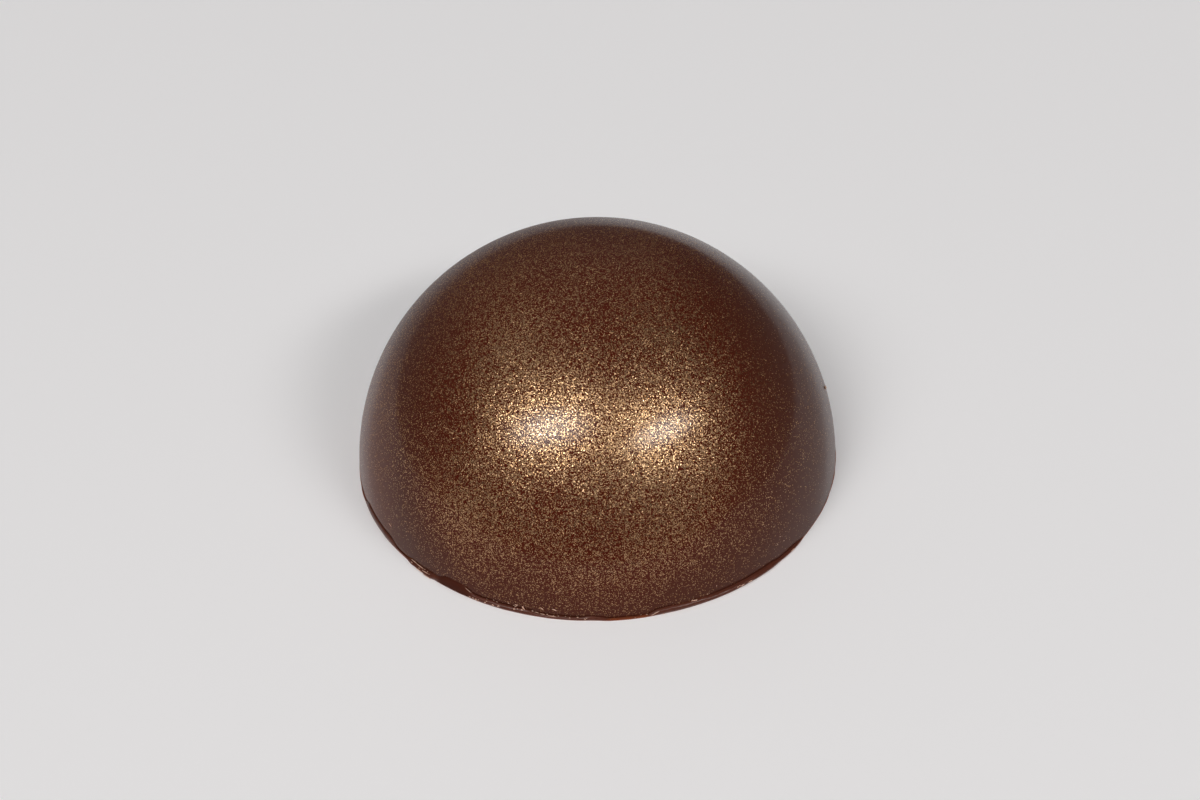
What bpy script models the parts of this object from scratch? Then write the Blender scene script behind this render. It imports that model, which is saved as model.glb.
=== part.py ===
"""Half-sphere chocolate praline: a gold-dusted dome on its thin capping layer.

Metres, +Z up. The origin is the middle of the flat underside. Azimuths are in degrees:
0 is the front (-Y), 90 the right side (+X), 180 the back.
"""

import math

import bmesh
import bpy

MM = 0.001

# Driving dimensions
DOME_RADIUS = 15.0 * MM  # half-sphere mould, 30 mm across
LAYER_THICKNESS = 0.35 * MM  # capping layer, away from the rim
JOINT_GAP = 0.1 * MM  # fine groove between the dusted film and the capping layer
RIM_BLEND = 1.5 * MM  # how far in from the rim the layer's top follows the uneven seam
OVERHANG_LEAST = 0.03 * MM  # the layer stands this proud of the dome where its edge is thinnest
OVERHANG_PER_HEIGHT = 0.25  # and more where the edge is higher
BELLY_SHARE = 0.35  # the edge is widest at this share of its height
UNDERCUT = 0.05 * MM  # the flat underside stops this far inside the widest line

# The capping layer's bare edge, round the rim: from azimuth, to azimuth, height of the seam.
# Between two stretches the seam rises or falls smoothly.
RIM_STRETCHES = (
    (-105, -77, 0.12 * MM),  # scraped thin, left side
    (-70, -58, 0.42 * MM),  # lip pressed out, left
    (-55, -53, 0.18 * MM),  # pinch
    (-49, -43, 0.36 * MM),  # fractured lip
    (-39, -34, 0.82 * MM),  # bare patch where the film has come away
    (-30, -18, 0.38 * MM),  # crumbly lip
    (-14, -3, 0.20 * MM),  # thin edge, front
    (2, 10, 0.12 * MM),  # scraped thin, front
    (16, 44, 0.42 * MM),  # lip, front right
    (56, 98, 0.12 * MM),  # scraped thin, right side
    (112, 150, 0.32 * MM),  # lip, back right
    (162, 176, 0.18 * MM),  # thin edge, back
    (190, 238, 0.36 * MM),  # lip, back left
)

# Facets
SEGMENTS = 120
DOME_RINGS = 24
FLAT_RING_SHARE = 0.55  # one ring part of the way out keeps the level faces even

# Finishes: base colour (linear), metallic, roughness
DUSTED_CHOCOLATE = ((0.117, 0.052, 0.028, 1.0), 0.3, 0.35)
BARE_CHOCOLATE = ((0.062, 0.022, 0.013, 1.0), 0.0, 0.4)


def smooth_step(share):
    """0 below 0, 1 above 1, and an even S between."""
    share = min(max(share, 0.0), 1.0)
    return share * share * (3.0 - 2.0 * share)


def seam_height(azimuth):
    """Height of the bare edge's upper line at an azimuth in degrees."""
    first = RIM_STRETCHES[0]
    place = (azimuth - first[0]) % 360.0 + first[0]
    following = RIM_STRETCHES[1:] + ((first[0] + 360, first[1] + 360, first[2]),)
    for (_, end, height), (next_start, _, next_height) in zip(RIM_STRETCHES, following):
        if place <= end:
            return height
        if place < next_start:
            share = (place - end) / (next_start - end)
            return height + (next_height - height) * smooth_step(share)
    return first[2]


def sphere_radius(height):
    """Radius of the dome's outside at a height above the base plane."""
    return math.sqrt(DOME_RADIUS**2 - height**2)


def foot_radius(azimuth):
    """Widest reach of the capping layer's edge."""
    return DOME_RADIUS + OVERHANG_LEAST + OVERHANG_PER_HEIGHT * seam_height(azimuth)


def layer_top(azimuth, share):
    """Top of the capping layer, from level (share 0) to the seam (share 1)."""
    seam = seam_height(azimuth)
    return LAYER_THICKNESS + (seam - LAYER_THICKNESS) * smooth_step(share)


def joint_rings(lift):
    """Rings of the face where dome and layer meet, from the seam inwards, raised by lift."""

    def ring_at(share):
        def point(azimuth):
            edge = sphere_radius(seam_height(azimuth) + lift)
            radius = edge - RIM_BLEND * (1.0 - share)
            return radius, layer_top(azimuth, share) + lift

        return point

    def level_ring(_azimuth):
        return FLAT_RING_SHARE * DOME_RADIUS, LAYER_THICKNESS + lift

    return [ring_at(1.0), ring_at(0.5), ring_at(0.0), level_ring]


def dome_rings():
    """Rings of the dome's round outside, from the seam up to just under the top."""

    def ring_at(share):
        def point(azimuth):
            lowest = math.asin((seam_height(azimuth) + JOINT_GAP) / DOME_RADIUS)
            elevation = lowest + (math.pi / 2 - lowest) * share
            return DOME_RADIUS * math.cos(elevation), DOME_RADIUS * math.sin(elevation)

        return point

    return [ring_at(index / DOME_RINGS) for index in range(1, DOME_RINGS)]


def edge_rings():
    """Rings of the capping layer's bare edge, from the underside up to below the seam."""

    def level_ring(_azimuth):
        return FLAT_RING_SHARE * DOME_RADIUS, 0.0

    def underside(azimuth):
        return foot_radius(azimuth) - UNDERCUT, 0.0

    def belly(azimuth):
        return foot_radius(azimuth), BELLY_SHARE * seam_height(azimuth)

    def shoulder(azimuth):
        height = (1.0 + BELLY_SHARE) / 2 * seam_height(azimuth)
        return (foot_radius(azimuth) + sphere_radius(height)) / 2, height

    return [level_ring, underside, belly, shoulder]


def turned_body(name, low_pole, rings, high_pole, finish):
    """A closed body through rings of (radius, height), between two points on the axis."""
    body = bmesh.new()
    bottom = body.verts.new((0.0, 0.0, low_pole))
    top = body.verts.new((0.0, 0.0, high_pole))
    loops = []
    for point in rings:
        loop = []
        for step in range(SEGMENTS):
            azimuth = 360.0 * step / SEGMENTS
            radius, height = point(azimuth)
            turn = math.radians(azimuth)
            loop.append(body.verts.new((radius * math.sin(turn), -radius * math.cos(turn), height)))
        loops.append(loop)
    for step in range(SEGMENTS):
        after = (step + 1) % SEGMENTS
        body.faces.new((bottom, loops[0][after], loops[0][step]))
        for lower, upper in zip(loops, loops[1:]):
            body.faces.new((lower[step], lower[after], upper[after], upper[step]))
        body.faces.new((top, loops[-1][step], loops[-1][after]))
    bmesh.ops.triangulate(body, faces=body.faces)
    bmesh.ops.recalc_face_normals(body, faces=body.faces)
    mesh = bpy.data.meshes.new(name)
    body.to_mesh(mesh)
    body.free()
    mesh.shade_smooth()
    mesh.set_sharp_from_angle(angle=math.radians(35))
    mesh.materials.append(finish)
    piece = bpy.data.objects.new(name, mesh)
    bpy.context.scene.collection.objects.link(piece)
    return piece


def chocolate(name, look):
    """A Principled material of one colour, metallic value and roughness."""
    colour, metallic, roughness = look
    material = bpy.data.materials.new(name)
    material.use_nodes = True
    surface = material.node_tree.nodes["Principled BSDF"]
    surface.inputs["Base Color"].default_value = colour
    surface.inputs["Metallic"].default_value = metallic
    surface.inputs["Roughness"].default_value = roughness
    return material


def dusted_dome():
    """The half-sphere, solid to the joint with the capping layer."""
    underside = joint_rings(JOINT_GAP)[::-1]
    rings = underside + dome_rings()
    level = LAYER_THICKNESS + JOINT_GAP
    finish = chocolate("dusted_chocolate", DUSTED_CHOCOLATE)
    return turned_body("dusted_dome", level, rings, DOME_RADIUS, finish)


def base_layer():
    """The thin layer that caps the mould, flat underneath and bare at its edge."""
    rings = edge_rings() + joint_rings(0.0)
    finish = chocolate("bare_chocolate", BARE_CHOCOLATE)
    return turned_body("base_layer", 0.0, rings, LAYER_THICKNESS, finish)


for leftover in list(bpy.data.objects):
    bpy.data.objects.remove(leftover, do_unlink=True)
dusted_dome()
base_layer()
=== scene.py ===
# %% [markdown]
# # A half-sphere chocolate praline
#
# A moulded praline is a thin dome of tempered chocolate, cast in a polished mould that was first
# brushed with gold lustre dust, and closed underneath with a capping layer that is scraped flat.
# The lesson loads the praline's solids as a fixed frame and dresses them: the dusted dome, the bare
# edge of the capping layer, and the crumbs that the scraper leaves on the rim.

# %% Load the frame
import math
import random

import bpy
import numpy as np
from mathutils import Matrix, Quaternion, Vector, noise


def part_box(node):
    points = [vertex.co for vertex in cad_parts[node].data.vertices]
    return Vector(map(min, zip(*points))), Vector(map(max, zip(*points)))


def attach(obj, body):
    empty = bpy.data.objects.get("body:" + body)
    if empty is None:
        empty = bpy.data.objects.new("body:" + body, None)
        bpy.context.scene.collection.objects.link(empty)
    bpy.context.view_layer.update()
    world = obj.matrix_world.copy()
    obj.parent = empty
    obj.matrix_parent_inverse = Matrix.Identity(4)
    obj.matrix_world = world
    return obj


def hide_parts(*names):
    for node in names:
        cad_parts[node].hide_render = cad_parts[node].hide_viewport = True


MM = 0.001
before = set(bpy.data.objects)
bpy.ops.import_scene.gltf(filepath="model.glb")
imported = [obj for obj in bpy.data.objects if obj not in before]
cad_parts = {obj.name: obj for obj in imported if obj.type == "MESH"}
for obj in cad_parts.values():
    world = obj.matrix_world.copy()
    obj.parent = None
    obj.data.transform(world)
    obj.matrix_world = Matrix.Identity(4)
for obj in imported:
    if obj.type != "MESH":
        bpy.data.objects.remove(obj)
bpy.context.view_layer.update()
dome_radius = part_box("dusted_dome")[1].z
print("nodes:", sorted(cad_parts))
print("dome radius, mm:", round(dome_radius / MM, 2))

# %% [markdown]
# ## The rim
#
# Where the dome meets the capping layer, a strip of bare chocolate shows. The scraper leaves it
# uneven: pressed out into a lip here, pinched or broken there. Dragging hundreds of corners by hand
# would be slow, so its height is described once, as stretches round the rim, and both pieces
# follow that one description. Azimuth 0 is the front and 90 is the right side.

# %% Describe the rim
# from azimuth, to azimuth, then in mm: height of the bare strip, height of the groove, overhang
RIM_STRETCHES = (
    (-105, -84, 0.07, 0.07, 0.02),
    (-79, -76, 0.12, 0.10, 0.05),
    (-72, -60, 0.50, 0.11, 0.09),
    (-56, -53, 0.17, 0.13, 0.02),
    (-50, -47, 0.31, 0.13, 0.14),
    (-45, -44, 0.38, 0.07, 0.20),
    (-42.5, -42, 0.44, 0.07, 0.13),
    (-39, -34, 0.82, 0.05, 0.16),
    (-31, -18, 0.37, 0.12, 0.14),
    (-14, -5, 0.22, 0.12, 0.11),
    (-3, -2, 0.34, 0.08, 0.10),
    (2, 10, 0.10, 0.10, 0.13),
    (14, 16, 0.44, 0.10, 0.17),
    (19, 24, 0.44, 0.02, 0.19),
    (27, 44, 0.37, 0.10, 0.20),
    (48, 53, 0.24, 0.08, 0.13),
    (58, 62, 0.06, 0.03, 0.00),
    (68, 98, 0.03, 0.01, 0.02),
    (112, 150, 0.30, 0.10, 0.11),
    (162, 176, 0.17, 0.06, 0.06),
    (190, 238, 0.34, 0.11, 0.12),
)
print("stretches described:", len(RIM_STRETCHES))

# %% [markdown]
# ## Reading the rim anywhere
#
# Straight lines between the stretches would put corners where a lip begins. Chocolate that was
# pressed and scraped flows from one height to the next, so the heights are blended with an ease
# curve, slow at both ends. On top of it lies a ripple of a few hundredths of a millimetre, taken
# from noise on a circle, so that it meets itself without a step after a full turn.

# %% Blend between the stretches
def rim_shape(azimuths):
    """Strip height, groove height and overhang in metres, for an array of azimuths in degrees."""
    around, sizes = [], []
    for turn in (-360, 0, 360):
        for start, end, *size in RIM_STRETCHES:
            around += [start + turn, end + turn]
            sizes += [size, size]
    around, sizes = np.array(around), np.array(sizes)
    slot = np.searchsorted(around, azimuths, side="right") - 1
    share = (azimuths - around[slot]) / (around[slot + 1] - around[slot])
    share = (share * share * (3 - 2 * share))[:, None]
    return (MM * (sizes[slot] * (1 - share) + sizes[slot + 1] * share)).T


def ripple(azimuths, period_mm, seed):
    """Smooth unevenness from -1 to 1 round the rim, with bumps about period_mm apart."""
    radius = dome_radius / MM / period_mm
    return np.array([
        noise.noise(Vector((radius * math.cos(turn), radius * math.sin(turn), seed)))
        for turn in np.radians(azimuths)
    ])


sample = np.array([-65.0, -54.0, -36.0, 5.0, 22.0, 80.0])
print("strip, groove, overhang in mm:", np.round(rim_shape(sample).T / MM, 2).tolist())

# %% [markdown]
# ## Small helpers
#
# Operators act on whatever is selected, so every step first sets the selection. Doing that by hand
# in each step would bury the modelling under bookkeeping, so four short helpers do it: they select
# a piece, name it, and go in and out of edit mode.

# %% Selection and naming
def select_only(*objects):
    """These objects selected, the last one active, and nothing else."""
    bpy.ops.object.select_all(action="DESELECT")
    for thing in objects:
        thing.select_set(True)
    bpy.context.view_layer.objects.active = objects[-1]


def new_piece(name):
    """Names the primitive just added, and returns it."""
    piece = bpy.context.active_object
    piece.name = name
    piece.data.name = name
    select_only(piece)
    return piece


def edit(piece, mode="VERT"):
    """Opens the piece in edit mode with nothing selected."""
    select_only(piece)
    bpy.ops.object.mode_set(mode="EDIT")
    bpy.ops.mesh.select_mode(type=mode)
    bpy.ops.mesh.select_all(action="DESELECT")


def object_mode():
    bpy.ops.object.mode_set(mode="OBJECT")


print("helpers ready:", select_only.__name__, new_piece.__name__, edit.__name__, object_mode.__name__)

# %% [markdown]
# ## The dusted dome
#
# On the real praline this is chocolate that set against a polished mould, so its shape is a true
# half-sphere and only its lower edge is irregular. Sculpting would spoil the clean curve, and a
# spun profile would give the same thing in more steps. A UV sphere is chosen because its rings
# already follow the rim. It is cut just above the floor, where the seam will lie, and given more
# rings low down, where the edge needs them.

# %% Add the half-sphere
SEGMENTS = 720
SPHERE_RINGS = 120
CUT_HEIGHT = 0.45 * MM
CUT_TOLERANCE = 1e-6  # smaller than the default, which would swallow rings a tenth of a millimetre away
EXTRA_RINGS = (0.5, 0.55, 0.6, 0.66, 0.74, 0.84, 1.0)  # mm above the floor

bpy.ops.object.select_all(action="DESELECT")
bpy.ops.mesh.primitive_uv_sphere_add(
    segments=SEGMENTS, ring_count=SPHERE_RINGS, radius=dome_radius, location=(0, 0, 0)
)
dome = new_piece("lustre_dusted_dome")
edit(dome)
bpy.ops.mesh.select_all(action="SELECT")
bpy.ops.mesh.bisect(
    plane_co=(0, 0, CUT_HEIGHT), plane_no=(0, 0, 1), clear_inner=True, threshold=CUT_TOLERANCE
)
for height in EXTRA_RINGS:
    bpy.ops.mesh.select_all(action="SELECT")
    bpy.ops.mesh.bisect(plane_co=(0, 0, height * MM), plane_no=(0, 0, 1), threshold=CUT_TOLERANCE)
object_mode()
print("dome faces:", len(dome.data.polygons))

# %% [markdown]
# ## The irregular lower edge
#
# The dusted film ends in an uneven line with a fine dark groove under it. Dragging the lowest ring
# alone would stretch one row of faces, so all rings near the seam follow it, less and less the
# higher they lie, and every corner stays on the sphere. Only the last few tenths of a millimetre
# curl inwards, which gives the film's edge the small rounding that catches a line of light. No
# operator follows an uneven line, so here the corners are moved as rows of numbers.

# %% Move the lowest rings on to the seam
def corners(piece):
    """The piece's corners as an array of x, y, z rows."""
    places = np.empty(len(piece.data.vertices) * 3)
    piece.data.vertices.foreach_get("co", places)
    return places.reshape(-1, 3)


def place_corners(piece, places):
    """Moves the piece's corners to these rows."""
    piece.data.vertices.foreach_set("co", np.ascontiguousarray(places).ravel())
    piece.data.update()


SEAM_REACH = math.radians(11)  # rings up to this elevation follow the seam
CURL_SHARE = 0.3  # of the groove's height
CURL_HEIGHT = 0.3 * MM
FILM_SAG = 0.057 * MM
FILM_RIPPLE = 0.03 * MM
LOWEST_EDGE = 0.02 * MM

places = corners(dome)
azimuths = np.degrees(np.arctan2(places[:, 0], -places[:, 1]))
elevations = np.arcsin(np.clip(places[:, 2] / dome_radius, -1, 1))
cut_elevation = math.asin(CUT_HEIGHT / dome_radius)
strip, groove, _ = rim_shape(azimuths)
film_edge = strip + groove - FILM_SAG + FILM_RIPPLE * ripple(azimuths, period_mm=0.6, seed=3.0)
film_edge = np.maximum(film_edge, LOWEST_EDGE)
edge_elevation = np.arcsin(film_edge / dome_radius)
nearness = np.clip((SEAM_REACH - elevations) / (SEAM_REACH - cut_elevation), 0, 1)
elevations = elevations + (edge_elevation - cut_elevation) * nearness**2
turns = np.radians(azimuths)
up = dome_radius * np.sin(elevations)
curl = CURL_SHARE * groove * np.clip(1 - (up - film_edge) / CURL_HEIGHT, 0, 1) ** 2
across = dome_radius * np.cos(elevations) - curl
place_corners(dome, np.stack([across * np.sin(turns), -across * np.cos(turns), up], axis=1))
print("film edge, mm:", round(film_edge.min() / MM, 3), "to", round(film_edge.max() / MM, 3))

# %% [markdown]
# ## The lip of the film
#
# A shell without thickness looks like paper at its edge. The Solidify modifier would thicken the
# whole dome, of which the inside is never seen. Three short extrusions of the open edge are enough:
# one turns the lip in, one makes its underside and one carries it up out of sight. The last ring
# is then flattened and filled, so that the piece is closed.

# %% Turn the open edge in and close it
FILM_THICKNESS = 0.25 * MM
TOP_OF_LIP = 1.6 * MM
# by how much the open edge shrinks, and how far it rises
LIP_STEPS = (
    (0.9975, -0.012 * MM),
    (1 - FILM_THICKNESS / dome_radius, 0.04 * MM),
    (1, 0.5 * MM),
)

edit(dome, "EDGE")
bpy.ops.mesh.select_non_manifold()
for shrink, lift in LIP_STEPS:
    bpy.ops.mesh.extrude_region_move()
    bpy.ops.transform.resize(value=(shrink, shrink, 1), center_override=(0, 0, 0))
    bpy.ops.transform.translate(value=(0, 0, lift))
bpy.ops.transform.resize(value=(1, 1, 0), center_override=(0, 0, TOP_OF_LIP))
bpy.ops.mesh.edge_face_add()
bpy.ops.mesh.select_all(action="SELECT")
bpy.ops.mesh.normals_make_consistent(inside=False)
object_mode()
bpy.ops.object.shade_smooth_by_angle(angle=math.radians(40))
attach(dome, "root")
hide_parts("dusted_dome")
print("dome faces with its lip:", len(dome.data.polygons))

# %% [markdown]
# ## The capping layer and its bare edge
#
# The filled shells are closed with a last layer of chocolate, scraped level with the mould. When
# the praline is turned out, the edge of that layer is the bare strip that shows at the foot. It is
# a flat disc with a rounded edge, pressed out here and broken there. A plain cylinder would have a
# sharp corner all round. Starting from a filled circle, each extrusion adds one ring of the edge's
# section, and the rings get their true places in the next step.

# %% Extrude the rings of the edge
# height as a share of the strip, height to add in mm, share of the overhang, inset in mm
EDGE_SECTION = (
    (0.0, 0.0, 0.20, 0.07),
    (0.08, 0.0, 0.58, 0.0),
    (0.22, 0.0, 0.86, 0.0),
    (0.42, 0.0, 1.0, 0.0),
    (0.60, 0.0, 1.0, 0.0),
    (0.76, 0.0, 0.82, 0.0),
    (0.88, 0.0, 0.48, 0.0),
    (0.97, 0.0, 0.10, 0.0),
    (1.0, 0.0, 0.0, 0.04),
    (1.0, -0.06, 0.0, 0.08),
    (1.0, -0.15, 0.0, 0.12),
    (1.0, -0.15, 0.0, 0.30),
)

bpy.ops.object.select_all(action="DESELECT")
bpy.ops.mesh.primitive_circle_add(vertices=SEGMENTS, radius=dome_radius, fill_type="NGON")
layer = new_piece("scraped_capping_layer")
edit(layer, "FACE")
bpy.ops.mesh.select_all(action="SELECT")
for step in range(1, len(EDGE_SECTION)):
    bpy.ops.mesh.extrude_region_move(TRANSFORM_OT_translate={"value": (0, 0, MM)})
object_mode()
print("capping layer corners:", len(layer.data.vertices))

# %% [markdown]
# ## Setting the rings by the rim
#
# Each ring has a share of the strip's height and a share of its overhang, so one section serves
# for a wide lip and for a pinched stretch alike. A bevel could not change its width on the way
# round. The same description moved the film's edge, so the two pieces can't drift apart.

# %% Give each ring its radius and height
EDGE_RIPPLE = 0.02 * MM
LEAST_RISE = 0.004 * MM  # keeps the rings apart where the strip is very thin

places = corners(layer)
azimuths = np.degrees(np.arctan2(places[:, 0], -places[:, 1]))
rings = np.rint(places[:, 2] / MM).astype(int)
share, added, reach, inset = (np.array(column)[rings] for column in zip(*EDGE_SECTION))
strip, _, overhang = rim_shape(azimuths)
strip = strip + EDGE_RIPPLE * ripple(azimuths, period_mm=0.5, seed=7.0)
overhang = overhang + EDGE_RIPPLE * ripple(azimuths, period_mm=0.9, seed=9.0)
heights = share * strip + added * MM
heights = np.where(rings == 0, 0.0, np.maximum(heights, LEAST_RISE * (1 + rings)))
across = np.sqrt(dome_radius**2 - heights**2) + reach * overhang - inset * MM
turns = np.radians(azimuths)
place_corners(layer, np.stack([across * np.sin(turns), -across * np.cos(turns), heights], axis=1))
edit(layer, "FACE")
bpy.ops.mesh.select_all(action="SELECT")
bpy.ops.mesh.normals_make_consistent(inside=False)
object_mode()
bpy.ops.object.shade_smooth_by_angle(angle=math.radians(50))
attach(layer, "root")
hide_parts("base_layer")
print("overhang, mm:", round(overhang.min() / MM, 3), "to", round(overhang.max() / MM, 3))

# %% [markdown]
# ## Materials: the shared tools
#
# The finishes are node materials in object coordinates, so every pattern has a size in real
# millimetres and stays put when the praline moves. A painted image would do for one view only.
# Colours are written as the hex codes of a colour picker and turned into linear light, which the
# shader reckons in. One helper adds a node together with its settings and links.

# %% Colours and nodes
def srgb(code):
    """A hex colour as linear red, green, blue and alpha."""
    parts = [int(code[place:place + 2], 16) / 255 for place in (1, 3, 5)]
    return [p / 12.92 if p <= 0.04045 else ((p + 0.055) / 1.055) ** 2.4 for p in parts] + [1.0]


def add_node(tree, kind, inputs=(), **settings):
    """Adds a node with its settings; inputs pairs a socket with a value or another node's output."""
    node = tree.nodes.new(kind)
    for name, value in settings.items():
        setattr(node, name, value)
    for name, value in dict(inputs).items():
        if isinstance(value, bpy.types.NodeSocket):
            tree.links.new(value, node.inputs[name])
        else:
            node.inputs[name].default_value = value
    return node


def new_material(name):
    """An empty node material with its output; returns the material, tree and output node."""
    material = bpy.data.materials.new(name)
    material.use_nodes = True
    material.node_tree.nodes.clear()
    tree = material.node_tree
    return material, tree, add_node(tree, "ShaderNodeOutputMaterial")


MIX_A, MIX_B, MIX_RESULT = 6, 7, 2  # the colour sockets of a Mix node
print("mid grey in linear light:", round(srgb("#808080")[0], 3))

# %% [markdown]
# ## Lustre dust: one cell for each flake
#
# Lustre dust is ground mica with a metal sheen. It is brushed into the mould, and the chocolate
# picks it up as thousands of flat flakes, some of which flash while their neighbours stay dark.
# A smooth gold colour would look like paint. A Voronoi texture splits the surface into cells and
# gives each its own random colour, so every cell can be one flake. The finest real flakes are too
# small to see at this distance and would only blur, so every cell has the size of a coarse one.

# %% Split the surface into flakes
FLAKE = 0.043 * MM  # real flakes are 0.01 to 0.06 mm, and the finest would only blur

material, tree, output = new_material("gold_dusted_moulded_chocolate")
coords = add_node(tree, "ShaderNodeTexCoord").outputs["Object"]
cells = add_node(tree, "ShaderNodeTexVoronoi", {"Vector": coords, "Scale": 1 / FLAKE})
chance = add_node(tree, "ShaderNodeSeparateColor", {"Color": cells.outputs["Color"]})
tumble = add_node(tree, "ShaderNodeTexWhiteNoise", {"Vector": cells.outputs["Position"]})
print("flakes across the dome:", round(2 * dome_radius / FLAKE))

# %% [markdown]
# ## Where the dust is thick and thin
#
# The brush leaves more dust on one side of the mould than on the others, and the scraper and the
# fingers wipe some off near the foot. gold_share is the chance that a cell is gold: it starts as
# soft clouds, and each row of the table then lets it fade along one direction. An even covering
# would be simpler, but to the eye the gleaming front has to melt into plain dark chocolate at the
# sides and the back.

# %% Thin the dust by place
CLOUD_SIZE = 7 * MM
LEAST_GOLD, MOST_GOLD = 0.27, 0.46  # the share of gold cells in the clouds
WIPED_HEIGHT = 7 * MM
THIN_FROM, THIN_TO = 3 * MM, 8 * MM
LOWER_RIGHT = (0.8, 0.0, -0.6)  # a direction across the dome
# where the dust is thinnest: the place, and the share of dust left there
THIN_PLACES = (
    ((9.5 * MM, 1 * MM, 12 * MM), 0.4),
    ((-8 * MM, 1.5 * MM, 12.5 * MM), 0.68),
)

clouds = add_node(tree, "ShaderNodeTexNoise", {
    "Vector": coords, "Scale": 1 / CLOUD_SIZE, "Detail": 3.0, "Roughness": 0.55,
})
place = add_node(tree, "ShaderNodeSeparateXYZ", {"Vector": coords})
from_middle = add_node(tree, "ShaderNodeMath", {0: place.outputs["X"]}, operation="ABSOLUTE").outputs[0]
lower_right = add_node(tree, "ShaderNodeVectorMath", {0: coords, 1: LOWER_RIGHT},
                       operation="DOT_PRODUCT").outputs["Value"]
from_thin_places = [
    add_node(tree, "ShaderNodeVectorMath", {0: coords, 1: spot}, operation="DISTANCE").outputs["Value"]
    for spot, _ in THIN_PLACES
]
gold_share = add_node(tree, "ShaderNodeMapRange", {
    "Value": clouds.outputs["Fac"], "From Min": 0.3, "From Max": 0.7,
    "To Min": LEAST_GOLD, "To Max": MOST_GOLD,
}).outputs[0]
# what is measured, from, to, and the share of the dust left at each of the two
for measure, start, end, first, last in (
    # wiped off near the foot
    (place.outputs["Z"], 0.0, WIPED_HEIGHT, 0.3, 1.0),
    # a thin place high at the right, and one at the left
    (from_thin_places[0], THIN_FROM, THIN_TO, THIN_PLACES[0][1], 1.0),
    (from_thin_places[1], THIN_FROM, THIN_TO, THIN_PLACES[1][1], 1.0),
    # thinner at the very top
    (place.outputs["Z"], 0.9 * dome_radius, 0.99 * dome_radius, 1.0, 0.62),
    # little at the back, and little at the sides
    (place.outputs["Y"], 0.1 * dome_radius, 0.5 * dome_radius, 1.0, 0.2),
    (from_middle, 0.42 * dome_radius, 0.84 * dome_radius, 1.0, 0.25),
    # a little more on the right half, but less low down there
    (place.outputs["X"], 0.0, 0.25 * dome_radius, 1.0, 1.2),
    (lower_right, -0.12 * dome_radius, 0.28 * dome_radius, 1.0, 0.4),
):
    thinning = add_node(tree, "ShaderNodeMapRange", {
        "Value": measure, "From Min": start, "From Max": end, "To Min": first, "To Max": last,
    }, interpolation_type="SMOOTHSTEP").outputs[0]
    gold_share = add_node(tree, "ShaderNodeMath", {0: gold_share, 1: thinning},
                          operation="MULTIPLY").outputs[0]
is_gold = add_node(tree, "ShaderNodeMath", {0: chance.outputs["Red"], 1: gold_share},
                   operation="LESS_THAN").outputs[0]
print("nodes for the dust:", len(tree.nodes))

# %% [markdown]
# ## Gold, and the chocolate between
#
# No two flakes have the same tone, so each takes its own between an old gold and a pale one. Low
# down the dust has sunk into the chocolate and turns brown. Between crowded flakes the chocolate
# is painted redder and deeper as painted shade from the flakes, and at the far left outline it is
# painted warmer, painted light for the warm light seen at that edge. Mixing a single average colour
# instead would lose the sparkle that makes the finish look like dust.

# %% Colour the flakes and the shell
CHOCOLATE = "#4D2619"
# painted light: the warm colour painted along the far left outline
LEFT_OUTLINE_PAINTED_LIGHT = "#623222"
# painted shade between crowded flakes
SHADED_CHOCOLATE = "#4E180A"
GOLD = "#AC8355"
PALE_GOLD = "#FAD0A2"
SUNK_GOLD = "#7A4A2E"
MOST_SUNK = 0.62  # how far the gold turns brown at the foot

gold_tint = add_node(tree, "ShaderNodeMix", {
    "Factor": chance.outputs["Green"], MIX_A: srgb(GOLD), MIX_B: srgb(PALE_GOLD),
}, data_type="RGBA").outputs[MIX_RESULT]
depth = add_node(tree, "ShaderNodeMapRange", {
    "Value": place.outputs["Z"], "From Min": 0.0, "From Max": WIPED_HEIGHT,
    "To Min": MOST_SUNK, "To Max": 0.0,
}).outputs[0]
gold_tint = add_node(tree, "ShaderNodeMix", {
    "Factor": depth, MIX_A: gold_tint, MIX_B: srgb(SUNK_GOLD),
}, data_type="RGBA").outputs[MIX_RESULT]
dustiness = add_node(tree, "ShaderNodeMapRange", {
    "Value": gold_share, "From Min": 0.04, "From Max": 0.26,
}).outputs[0]
# painted light: the far left outline is painted warmer, standing in for the warm light seen at that edge
painted_left_outline_light = add_node(tree, "ShaderNodeMapRange", {
    "Value": place.outputs["X"], "From Min": -0.96 * dome_radius, "From Max": -0.8 * dome_radius,
    "To Min": 1.0, "To Max": 0.0,
}).outputs[0]
bare_shell = add_node(tree, "ShaderNodeMix", {
    "Factor": painted_left_outline_light, MIX_A: srgb(CHOCOLATE), MIX_B: srgb(LEFT_OUTLINE_PAINTED_LIGHT),
}, data_type="RGBA").outputs[MIX_RESULT]
# painted shade: the chocolate between crowded flakes is darkened and reddened where the dust is thick
between_flakes = add_node(tree, "ShaderNodeMix", {
    "Factor": dustiness, MIX_A: bare_shell, MIX_B: srgb(SHADED_CHOCOLATE),
}, data_type="RGBA").outputs[MIX_RESULT]
surface_tint = add_node(tree, "ShaderNodeMix", {
    "Factor": is_gold, MIX_A: between_flakes, MIX_B: gold_tint,
}, data_type="RGBA").outputs[MIX_RESULT]
print("colours mixed:", CHOCOLATE, SHADED_CHOCOLATE, "to", GOLD, PALE_GOLD)

# %% [markdown]
# ## How the flakes lie
#
# Most flakes lie almost flat, and together they make the broad gleam that faces each lamp. A few
# stand loose and catch the light far from it, as single sparks. A bump texture can't do this,
# since it bends the surface smoothly. Here every cell gets its own tilt: the shading normal is
# pushed by a random vector, little for most flakes and much for a few, and the loose ones, whose
# faces are rougher, also spread their light more.

# %% Tilt each flake
TIGHT, LOOSE = 0.22, 1.15
FEW_LOOSE = 2.7  # a higher power leaves fewer loose flakes
TIGHT_ROUGHNESS, LOOSE_ROUGHNESS = 0.26, 0.64
BARE_ROUGHNESS = 0.5

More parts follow.
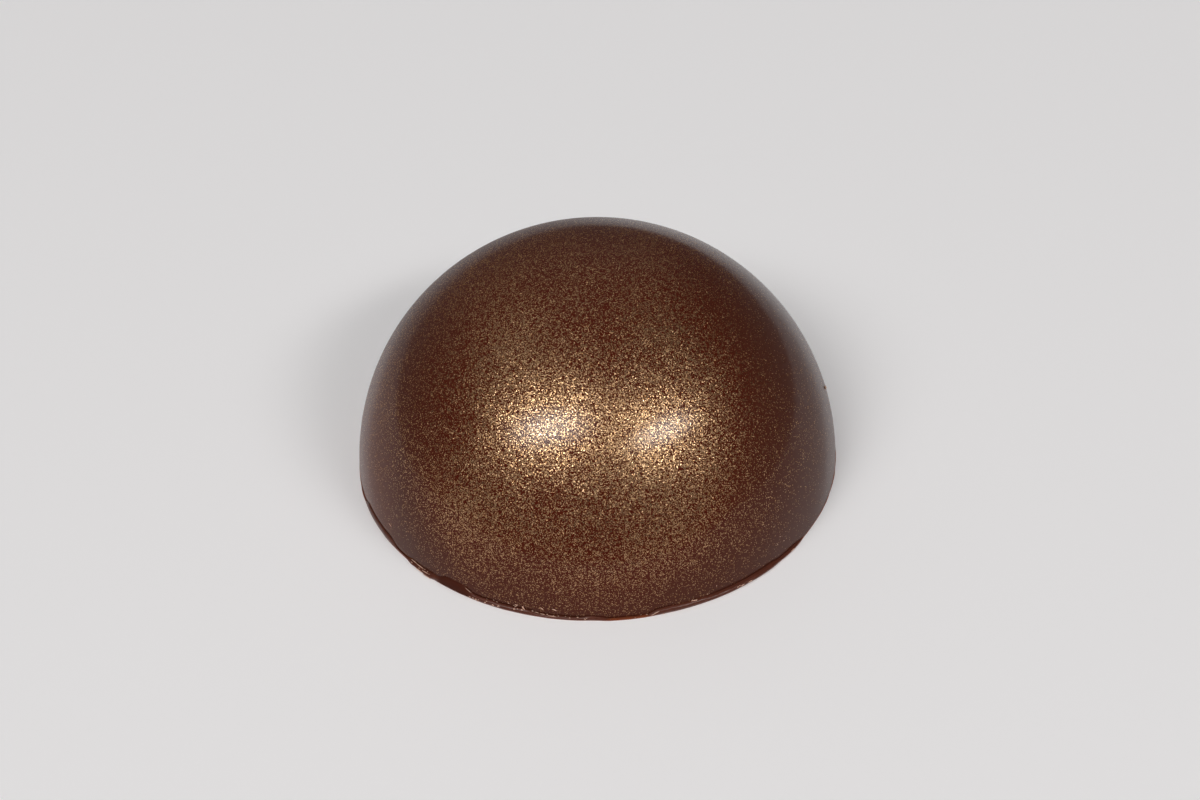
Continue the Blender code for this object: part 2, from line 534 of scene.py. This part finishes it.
looseness = add_node(tree, "ShaderNodeMath", {0: chance.outputs["Blue"], 1: FEW_LOOSE},
                     operation="POWER").outputs[0]
looseness = add_node(tree, "ShaderNodeMapRange", {
    "Value": looseness, "To Min": TIGHT, "To Max": LOOSE,
}).outputs[0]
tilt_amount = add_node(tree, "ShaderNodeMath", {0: is_gold, 1: looseness}, operation="MULTIPLY").outputs[0]
centred = add_node(tree, "ShaderNodeVectorMath", {0: tumble.outputs["Color"], 1: (0.5, 0.5, 0.5)},
                   operation="SUBTRACT").outputs[0]
tilt = add_node(tree, "ShaderNodeVectorMath", {0: centred, "Scale": tilt_amount},
                operation="SCALE").outputs[0]
facing = add_node(tree, "ShaderNodeNewGeometry").outputs["Normal"]
tilted = add_node(tree, "ShaderNodeVectorMath", {0: facing, 1: tilt}, operation="ADD").outputs[0]
tilted = add_node(tree, "ShaderNodeVectorMath", {0: tilted}, operation="NORMALIZE").outputs[0]
flake_spread = add_node(tree, "ShaderNodeMapRange", {
    "Value": looseness, "From Min": TIGHT, "From Max": 0.8,
    "To Min": TIGHT_ROUGHNESS, "To Max": LOOSE_ROUGHNESS,
}).outputs[0]
sheen_spread = add_node(tree, "ShaderNodeMix", {
    "Factor": is_gold, "A": BARE_ROUGHNESS, "B": flake_spread,
}).outputs["Result"]
print("the loosest tilt about one axis, degrees:", round(math.degrees(math.atan(0.5 * LOOSE))))

# %% [markdown]
# ## The gloss of the polished mould
#
# Over the dust lies a film of cocoa butter, polished by the mould. It mirrors whatever is around,
# above all the pale table along the outline, where it makes a soft grey band. A clear coat is the
# shader's own layer for that. How much of it survives the dust differs with the slant and was
# judged, so a ramp sets its weight. One place high at the left is rubbed and mirrors less.

# %% Weigh the gloss
RUBBED_PLACE = (-7 * MM, 5 * MM, 12 * MM)
RUBBED_FROM, RUBBED_TO = 4 * MM, 12 * MM
RUBBED_GLOSS = 0.36  # the share of the gloss left there
# how far the surface slants away from the eye, 0 to 1, and the weight of the gloss there
GLOSS_BY_SLANT = (
    (0.05, 0.44), (0.14, 0.22), (0.3, 0.18), (0.5, 0.32), (0.62, 0.26),
    (0.7, 0.34), (0.76, 0.5), (0.84, 0.54), (0.94, 0.44),
)

slant = add_node(tree, "ShaderNodeLayerWeight", {"Blend": 0.5}).outputs["Facing"]
gloss_by_slant = add_node(tree, "ShaderNodeValToRGB", {"Fac": slant})
ramp = gloss_by_slant.color_ramp.elements
for spot, _ in GLOSS_BY_SLANT[1:-1]:
    ramp.new(spot)
for step, (spot, weight) in zip(ramp, GLOSS_BY_SLANT):
    step.position = spot
    step.color = (weight, weight, weight, 1)
from_rubbed = add_node(tree, "ShaderNodeVectorMath", {0: coords, 1: RUBBED_PLACE},
                       operation="DISTANCE").outputs["Value"]
rubbed = add_node(tree, "ShaderNodeMapRange", {
    "Value": from_rubbed, "From Min": RUBBED_FROM, "From Max": RUBBED_TO,
    "To Min": RUBBED_GLOSS, "To Max": 1.0,
}, interpolation_type="SMOOTHSTEP").outputs[0]
gloss = add_node(tree, "ShaderNodeMath", {0: gloss_by_slant.outputs["Color"], 1: rubbed},
                 operation="MULTIPLY").outputs[0]
print("steps of the gloss:", len(ramp))

# %% [markdown]
# ## The finished dusted surface
#
# A flake is metal and the chocolate between is not, so the same zero-or-one value that picks the
# colour also switches Metallic. The chocolate's own shine is low and warm, because most of the
# light that it sends back has been inside it. This gives the eye brown depth under a gold skin.

# %% Put the layers into one shader
surface = add_node(tree, "ShaderNodeBsdfPrincipled", {
    "Base Color": surface_tint, "Metallic": is_gold, "Roughness": sheen_spread,
    "Normal": tilted, "Specular IOR Level": 0.15, "Specular Tint": srgb("#A88A70"),
    "Coat Weight": gloss, "Coat Roughness": 0.13, "Coat IOR": 1.45,
})
tree.links.new(surface.outputs[0], output.inputs["Surface"])
dome.data.materials.append(material)
print("gold_dusted_moulded_chocolate has", len(tree.nodes), "nodes")

# %% [markdown]
# ## Bare scraped chocolate
#
# The strip at the foot never touched the mould's polish or its dust. It is plain dark chocolate
# with a fine grain, drawn at a quarter of a millimetre. Where the film has come away at the front
# left, a fresh patch shows that is darker and quite matt. At the very foot the edge thins out, and
# a thin warm line is painted there, painted light for the light that passes through it. One flat
# brown would hide all three.

# %% Colour the bare chocolate
PATCH_AZIMUTH = math.radians(-36.7)
PATCH_FROM, PATCH_TO = 1.0 * MM, 1.5 * MM
GRAIN_SIZE = 0.25 * MM
PAINTED_LIT_EDGE_HEIGHT = 0.13 * MM
DARK_GRAIN, PALE_GRAIN = "#472318", "#643629"
PATCH_BROWN = "#472218"
# the colour of the painted light along the foot
LIT_EDGE = "#A85A36"
patch_place = Vector((math.sin(PATCH_AZIMUTH), -math.cos(PATCH_AZIMUTH), 0.03)) * dome_radius

material, tree, output = new_material("scraped_bare_chocolate")
coords = add_node(tree, "ShaderNodeTexCoord").outputs["Object"]
grain = add_node(tree, "ShaderNodeTexNoise", {"Vector": coords, "Scale": 1 / GRAIN_SIZE, "Detail": 4.0})
bare_tint = add_node(tree, "ShaderNodeMix", {
    "Factor": grain.outputs["Fac"], MIX_A: srgb(DARK_GRAIN), MIX_B: srgb(PALE_GRAIN),
}, data_type="RGBA").outputs[MIX_RESULT]
from_patch = add_node(tree, "ShaderNodeVectorMath", {0: coords, 1: patch_place},
                      operation="DISTANCE").outputs["Value"]
polish = add_node(tree, "ShaderNodeMapRange", {
    "Value": from_patch, "From Min": PATCH_FROM, "From Max": PATCH_TO,
}, interpolation_type="SMOOTHSTEP").outputs[0]
bare_tint = add_node(tree, "ShaderNodeMix", {
    "Factor": polish, MIX_A: srgb(PATCH_BROWN), MIX_B: bare_tint,
}, data_type="RGBA").outputs[MIX_RESULT]
height = add_node(tree, "ShaderNodeSeparateXYZ", {"Vector": coords}).outputs["Z"]
# painted light: a warm line painted along the foot stands in for light passing through the thin edge
painted_lit_edge_mask = add_node(tree, "ShaderNodeMapRange", {
    "Value": height, "From Min": 0.0, "From Max": PAINTED_LIT_EDGE_HEIGHT, "To Min": 1.0, "To Max": 0.0,
}).outputs[0]
bare_tint = add_node(tree, "ShaderNodeMix", {
    "Factor": painted_lit_edge_mask, MIX_A: bare_tint, MIX_B: srgb(LIT_EDGE),
}, data_type="RGBA").outputs[MIX_RESULT]
print("patch at, mm:", [round(value / MM, 1) for value in patch_place])

# %% [markdown]
# ## Its grain and shine
#
# The scraper leaves fine drag marks, too small to model. A bump of a few hundredths of a
# millimetre breaks the reflection into short glints along the lip, and the coat is almost gone on
# the matt patch, so that it reads as a dull, freshly broken face.

# %% Finish the bare chocolate
GRAIN_DEPTH = 0.03 * MM

coat = add_node(tree, "ShaderNodeMapRange", {
    "Value": polish, "To Min": 0.03, "To Max": 0.42,
}).outputs[0]
roughness = add_node(tree, "ShaderNodeMapRange", {
    "Value": polish, "To Min": 0.9, "To Max": 0.36,
}).outputs[0]
relief = add_node(tree, "ShaderNodeBump", {
    "Height": grain.outputs["Fac"], "Strength": 0.5, "Distance": GRAIN_DEPTH,
}).outputs["Normal"]
surface = add_node(tree, "ShaderNodeBsdfPrincipled", {
    "Base Color": bare_tint, "Roughness": roughness, "Normal": relief, "Specular IOR Level": 0.16,
    "Specular Tint": srgb("#E0B09A"),
    "Coat Weight": coat, "Coat Roughness": 0.2, "Coat IOR": 1.45, "Coat Normal": relief,
})
tree.links.new(surface.outputs[0], output.inputs["Surface"])
layer.data.materials.append(material)
print("scraped_bare_chocolate has", len(tree.nodes), "nodes")

# %% [markdown]
# ## One crumb
#
# Scraping leaves broken bits of chocolate on the rim, each a grain a tenth of a millimetre across
# with flat, split faces. A cube or a ball would look made by a machine. A small icosphere is cut by
# four slanting planes, which leaves the flats and corners of a broken grain in few faces, since it
# is going to be copied often.

# %% Cut one crumb
CRUMB_RADIUS = 0.5 * MM
# which way each cut faces, and how far it lies from the middle in mm
CRUMB_CUTS = (
    ((1, 0.4, 0.2), 0.3),
    ((-0.6, 1, 0.5), 0.28),
    ((0.2, -0.9, 0.7), 0.33),
    ((-0.3, 0.2, -1), 0.25),
)

bpy.ops.object.select_all(action="DESELECT")
bpy.ops.mesh.primitive_ico_sphere_add(subdivisions=2, radius=CRUMB_RADIUS)
crumb = new_piece("rim_crumbs")
edit(crumb)
for side, away in CRUMB_CUTS:
    bpy.ops.mesh.select_all(action="SELECT")
    point = Vector(side).normalized() * away * MM
    bpy.ops.mesh.bisect(plane_co=point, plane_no=side, clear_outer=True, use_fill=True)
bpy.ops.mesh.select_all(action="SELECT")
bpy.ops.mesh.normals_make_consistent(inside=False)
object_mode()
print("crumb faces:", len(crumb.data.polygons))

# %% [markdown]
# ## Where crumbs and slivers lie
#
# Crumbs gather where the rim was broken, and long slivers lie along the lip where the scraper drew
# the chocolate out. Scattering them evenly would look like seasoning. So each stretch of the rim
# gets its own number and size of crumbs, drawn by chance from a fixed seed, and the slivers, which
# are few and easy to see, are placed one by one.

# %% Describe the crumbs and slivers
# from azimuth, to azimuth, how many, then in mm: smallest, largest, lowest, highest; longest as a share
CRUMB_STRETCHES = (
    (-50.5, -43.5, 7, 0.06, 0.10, 0.22, 0.42, 1.8),
    (-33, -29, 6, 0.07, 0.12, 0.08, 0.46, 1.6),
    (-29, -24, 9, 0.06, 0.12, 0.12, 0.50, 1.6),
    (-24, -18, 8, 0.06, 0.12, 0.30, 0.62, 1.7),
    (-18.8, -16, 3, 0.09, 0.14, 0.28, 0.46, 1.5),
    (-15.5, -10.5, 4, 0.05, 0.08, 0.20, 0.30, 1.8),
    (-10.5, -2.5, 6, 0.06, 0.11, 0.16, 0.26, 1.5),
    (6, 16, 4, 0.05, 0.08, 0.06, 0.22, 1.6),
    (21, 23.2, 3, 0.08, 0.13, 0.40, 0.44, 1.8),
    (25, 29, 3, 0.05, 0.08, 0.50, 0.95, 1.4),
    (33, 37.5, 3, 0.06, 0.10, 0.20, 0.30, 1.8),
    (45, 52.5, 3, 0.06, 0.09, 0.95, 2.00, 1.4),
    (93.5, 94.5, 1, 0.26, 0.26, 4.15, 4.25, 1.3),
    (120, 150, 12, 0.07, 0.13, 0.20, 0.45, 1.8),
    (195, 230, 14, 0.07, 0.13, 0.20, 0.45, 1.8),
)
# azimuth, then in mm: height, length, width; slope in degrees
SLIVERS = (
    (-59.6, 1.46, 0.45, 0.06, -12),
    (-49.6, 0.37, 0.60, 0.06, -3),
    (-47.5, 0.33, 0.80, 0.07, -3),
    (-45.3, 0.31, 0.60, 0.06, 2),
    (-47.2, 0.12, 0.80, 0.06, -2),
    (-44.6, 0.10, 0.80, 0.06, 2),
    (-32.6, 0.58, 0.56, 0.04, -30),
    (-20.3, 0.50, 0.38, 0.06, 50),
    (-15.2, 0.30, 0.30, 0.05, -8),
    (-13.9, 0.24, 0.34, 0.05, -6),
    (-11.5, 0.20, 0.60, 0.05, -4),
    (-14.0, 0.68, 0.26, 0.07, -40),
    (-11.0, 0.71, 0.34, 0.08, -27),
    (12.4, 0.24, 0.70, 0.04, 26),
    (34.7, 0.24, 0.34, 0.06, 2),
    (36.9, 0.22, 0.40, 0.06, 0),
    (51.6, 0.16, 0.40, 0.05, 0),
    (138.0, 0.28, 0.50, 0.06, 4),
    (214.0, 0.30, 0.60, 0.06, -5),
)
print("crumbs:", sum(row[2] for row in CRUMB_STRETCHES), "slivers:", len(SLIVERS))

# %% [markdown]
# ## Laying them on the rim
#
# A crumb's distance from the middle is worked out from the sphere and from the lip's own section at
# that height, and then it is stretched, sloped and turned to follow the rim. Snapping each one to
# the surface would be closer still: this way about two in three touch it, and the others, mostly
# over the groove, stay less than 0.04 mm off, which can't be seen. Each is a copy of the mesh,
# moved inside its own data, so that the joined piece keeps its origin at the middle.

# %% Place one crumb
LIP_RINGS = 8  # the rings of the section that face outwards
STAND_OFF = 0.25  # as a share of the thickness of the crumb

section_heights = [row[0] for row in EDGE_SECTION[:LIP_RINGS]]
section_reach = [row[2] for row in EDGE_SECTION[:LIP_RINGS]]
pattern = crumb.data.copy()
made = []


def add_crumb(azimuth, height, length, thickness, width, slope):
    """Lays a copy of the crumb along the rim, sloping by slope degrees; sizes in mm."""
    turn = math.radians(azimuth)
    height = max(height, 0.5 * (width + length * abs(math.sin(math.radians(slope)))))
    strip, _, overhang = rim_shape(np.array([azimuth]))[:, 0]
    bulge = overhang * np.interp(height * MM / strip, section_heights, section_reach, right=0.0)
    reach = math.sqrt(dome_radius**2 - (height * MM) ** 2) + bulge + STAND_OFF * thickness * MM
    spot = Vector((reach * math.sin(turn), -reach * math.cos(turn), height * MM))
    lie = Matrix.Rotation(turn, 4, "Z") @ Matrix.Rotation(-math.radians(slope), 4, "Y")
    mesh = pattern.copy()
    mesh.transform(Matrix.Translation(spot) @ lie @ Matrix.Diagonal((length, thickness, width, 1.0)))
    copy = bpy.data.objects.new("crumb", mesh)
    bpy.context.scene.collection.objects.link(copy)
    made.append(copy)


bpy.data.objects.remove(crumb)
print("section steps used:", len(section_heights))

# %% [markdown]
# ## All crumbs as one piece
#
# The crumbs are one kind of thing, so they become one joined piece. Their number and sizes come
# from the tables, and the fixed seed gives the same crumbs every time the lesson is run.

# %% Place and join them
STEEPEST = 35  # degrees
CRUMB_THICKNESS, SLIVER_THICKNESS = 0.6, 0.8  # as a share of the size, and of the width

draw = random.Random(12)
for start, end, count, smallest, largest, low, high, longest in CRUMB_STRETCHES:
    for index in range(count):
        size = draw.uniform(smallest, largest)
        add_crumb(
            draw.uniform(start, end), draw.uniform(low, high),
            size * draw.uniform(1.0, longest), CRUMB_THICKNESS * size, size * draw.uniform(0.6, 1.0),
            draw.uniform(-STEEPEST, STEEPEST),
        )
for azimuth, height, length, width, slope in SLIVERS:
    add_crumb(azimuth, height, length, SLIVER_THICKNESS * width, width, slope)
select_only(*made)
bpy.ops.object.join()
crumbs = new_piece("rim_crumbs")
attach(crumbs, "root")
print("crumb triangles:", len(crumbs.data.polygons))

# %% [markdown]
# ## Broken crumbs
#
# A freshly broken crumb is paler than the chocolate around it, because its rough faces scatter the
# light and cocoa butter blooms on them; its colour is made paler still as a painted glint, for the
# light that its small facets catch. At this size no pattern could be seen inside one, so a pale
# milky brown with a soft shine is enough. It gives the eye the light specks along the rim, partly
# as painted glints.

# %% Colour the crumbs
# partly the paler broken chocolate, partly a painted glint
PALE_CRUMB_AND_GLINT = "#D2A890"

material, tree, output = new_material("broken_chocolate_crumb")
surface = add_node(tree, "ShaderNodeBsdfPrincipled", {
    "Base Color": srgb(PALE_CRUMB_AND_GLINT), "Roughness": 0.4,
})
tree.links.new(surface.outputs[0], output.inputs["Surface"])
crumbs.data.materials.clear()
crumbs.data.materials.append(material)
print("crumbs coloured, slots:", len(crumbs.data.materials))

# %% [markdown]
# ## The board it stands on
#
# The praline stands on a pale matt board. Glossy chocolate mirrors its surroundings, and the grey
# band along its outline is the mirrored board, so the board's own edges decide where that band
# ends. Its far left corner is drawn back, which carries the band further round on the left. A
# faint glow of its own stands in for the light that a whole bright room would add.

# %% Make the board
FLOOR = "#E3E1E1"
FLOOR_GLOW = 0.265
BOARD_NEAR, BOARD_FAR, BOARD_HALF_WIDTH = -35 * MM, 80 * MM, 58 * MM
BOARD_LENGTH = BOARD_FAR - BOARD_NEAR
BOARD_SKEW = 32 * MM

material, tree, output = new_material("matt_white_board")
surface = add_node(tree, "ShaderNodeBsdfPrincipled", {
    "Base Color": srgb(FLOOR), "Roughness": 0.9, "Specular IOR Level": 0.1,
    "Emission Color": srgb(FLOOR), "Emission Strength": FLOOR_GLOW,
})
tree.links.new(surface.outputs[0], output.inputs["Surface"])
board_material = material


def add_board(name):
    """A flat rectangle of board under and behind the praline."""
    bpy.ops.object.select_all(action="DESELECT")
    bpy.ops.mesh.primitive_plane_add(size=1, location=(0, 0, 0))
    piece = new_piece(name)
    edit(piece)
    bpy.ops.mesh.select_all(action="SELECT")
    bpy.ops.transform.resize(value=(2 * BOARD_HALF_WIDTH, BOARD_LENGTH, 1), center_override=(0, 0, 0))
    bpy.ops.transform.translate(value=(0, (BOARD_NEAR + BOARD_FAR) / 2, 0))
    object_mode()
    places = corners(piece)
    places[(places[:, 0] < 0) & (places[:, 1] > 0), 1] += BOARD_SKEW
    place_corners(piece, places)
    return piece


board = add_board("board")
print("board, mm:", [round(value / MM) for value in board.dimensions])

# %% [markdown]
# ## The floor beyond the board
#
# The floor has to fill the view to every side without being mirrored in the chocolate, or the grey
# band would run on over the top. So the rest of the floor is a piece of its own, extruded from
# the board's outline, and it is hidden from reflections only.

# %% Extend the floor
SURROUND_SCALE = 30

surround = add_board("board_surround")
edit(surround, "FACE")
bpy.ops.mesh.select_all(action="SELECT")
bpy.ops.mesh.delete(type="ONLY_FACE")
bpy.ops.mesh.select_mode(type="EDGE")
bpy.ops.mesh.select_all(action="SELECT")
bpy.ops.mesh.extrude_region_move()
bpy.ops.transform.resize(value=(SURROUND_SCALE, SURROUND_SCALE, 1), center_override=(0, 0, 0))
bpy.ops.mesh.select_all(action="SELECT")
bpy.ops.mesh.normals_make_consistent(inside=False)
object_mode()
surround.visible_glossy = False
for piece in (board, surround):
    piece.data.materials.append(board_material)
print("surround, m:", [round(value, 2) for value in surround.dimensions])

# %% [markdown]
# ## Two oval softboxes
#
# Two soft lamps stand at the front, left and right, and each leaves an oval gleam on the dome. A
# plain rectangular lamp would leave a gleam with corners and a hard border. A real softbox is
# brightest at its middle and fades to the rim, so the lamp's own nodes measure how far a point is
# from the middle of the oval and let the light fall off smoothly to nothing.

# %% Build a softbox
LIGHT_DISTANCE = 0.9


def softbox(name, azimuth, elevation, watts, radii, roll):
    """An oval softbox aimed at the praline, brightest at its middle; radii in m, angles in degrees."""
    turn, rise = math.radians(azimuth), math.radians(elevation)
    away = Vector((math.sin(turn) * math.cos(rise), -math.cos(turn) * math.cos(rise), math.sin(rise)))
    data = bpy.data.lights.new(name, "AREA")
    data.shape = "ELLIPSE"
    data.size, data.size_y = 2 * radii[0], 2 * radii[1]
    data.energy = watts
    lamp = bpy.data.objects.new(name, data)
    bpy.context.scene.collection.objects.link(lamp)
    lamp.location = away * LIGHT_DISTANCE
    aim = (-away).to_track_quat("-Z", "Y") @ Quaternion((0, 0, 1), math.radians(roll))
    lamp.rotation_euler = aim.to_euler()
    data.use_nodes = True
    tree = data.node_tree
    tree.nodes.clear()
    spot = add_node(tree, "ShaderNodeNewGeometry").outputs["Position"]
    spot = add_node(tree, "ShaderNodeVectorMath", {0: spot, 1: lamp.location},
                    operation="SUBTRACT").outputs["Vector"]
    from_middle = add_node(tree, "ShaderNodeCombineXYZ")
    for socket, axis, radius in (("X", Vector((1, 0, 0)), radii[0]), ("Y", Vector((0, 1, 0)), radii[1])):
        share = add_node(tree, "ShaderNodeVectorMath", {0: spot, 1: (aim @ axis) / radius},
                         operation="DOT_PRODUCT").outputs["Value"]
        tree.links.new(share, from_middle.inputs[socket])
    from_middle = add_node(tree, "ShaderNodeVectorMath", {0: from_middle.outputs[0]},
                           operation="LENGTH").outputs["Value"]
    glow = add_node(tree, "ShaderNodeMapRange", {
        "Value": from_middle, "From Min": 0.0, "From Max": 1.0, "To Min": 1.0, "To Max": 0.0,
    }, interpolation_type="SMOOTHSTEP").outputs[0]
    shine = add_node(tree, "ShaderNodeEmission", {"Strength": glow})
    add_node(tree, "ShaderNodeOutputLight", {"Surface": shine.outputs[0]})
    return lamp


for lamp in (
    softbox("left_softbox", azimuth=-36.1, elevation=50.2, watts=12.9, radii=(0.45, 0.2), roll=30),
    softbox("right_softbox", azimuth=46.1, elevation=43.6, watts=8.7, radii=(0.38, 0.13), roll=-10),
):
    print(lamp.name, "at, m:", [round(value, 2) for value in lamp.location])

# %% [markdown]
# ## The room
#
# The rest of the studio is dim, so that dark chocolate stays dark. Only the wall high up at the
# back is a little brighter; its reflection lifts the far edge of the dome off the floor. The
# camera sees a plain pale grey instead, should it ever look past the floor.

# %% Light the room
BRIGHT_WALL = (-0.25, 0.72, 0.645)  # the way to it from the praline
WALL_EDGE = 0.6  # the cosine of the angle at which its light has faded
DIM, BRIGHT = 0.05, 0.27
SEEN_GREY = (0.72, 0.71, 0.71, 1)

world = bpy.data.worlds.new("dim_studio")
bpy.context.scene.world = world
world.use_nodes = True
world.node_tree.nodes.clear()
direction = add_node(world.node_tree, "ShaderNodeTexCoord").outputs["Generated"]
towards_wall = add_node(world.node_tree, "ShaderNodeVectorMath", {0: direction, 1: BRIGHT_WALL},
                        operation="DOT_PRODUCT").outputs["Value"]
wall = add_node(world.node_tree, "ShaderNodeMapRange", {
    "Value": towards_wall, "From Min": WALL_EDGE, "From Max": 1.0, "To Min": DIM, "To Max": BRIGHT,
}, interpolation_type="SMOOTHSTEP").outputs[0]
seen = add_node(world.node_tree, "ShaderNodeLightPath").outputs["Is Camera Ray"]
room = add_node(world.node_tree, "ShaderNodeMix", {
    "Factor": seen, MIX_A: wall, MIX_B: SEEN_GREY,
}, data_type="RGBA").outputs[MIX_RESULT]
sky = add_node(world.node_tree, "ShaderNodeBackground", {"Color": room, "Strength": 1.0})
add_node(world.node_tree, "ShaderNodeOutputWorld", {"Surface": sky.outputs[0]})
print("world nodes:", len(world.node_tree.nodes))

# %% [markdown]
# ## The camera
#
# The praline is seen from above the front, as one looks down at a tray of sweets: high enough for
# the round rim to show, low enough for the dome to stand up. A long lens from 30 cm away keeps the
# half-sphere round, where a wide lens would make it bulge. The slight roll is that of a camera held
# by hand.

# %% Aim the camera
CAMERA_DISTANCE = 0.3
LENS, SENSOR = 142.7, 36  # both in mm
CAMERA_ELEVATION = 42.0
CAMERA_ROLL = -1.55
LOOK_AT = Vector((0.26, 2.31, 2.57)) * MM

rise = math.radians(CAMERA_ELEVATION)
camera = bpy.data.objects.new("camera", bpy.data.cameras.new("camera"))
bpy.context.scene.collection.objects.link(camera)
camera.data.lens = LENS
camera.data.sensor_width = SENSOR
camera.data.clip_start = 0.01
camera.location = Vector((0, -math.cos(rise), math.sin(rise))) * CAMERA_DISTANCE
aim = (LOOK_AT - camera.location).to_track_quat("-Z", "Y")
camera.rotation_euler = (aim @ Quaternion((0, 0, 1), math.radians(CAMERA_ROLL))).to_euler()
bpy.context.scene.camera = camera
bpy.context.scene.view_settings.view_transform = "Standard"
print("camera at, mm:", [round(value / MM) for value in camera.location])
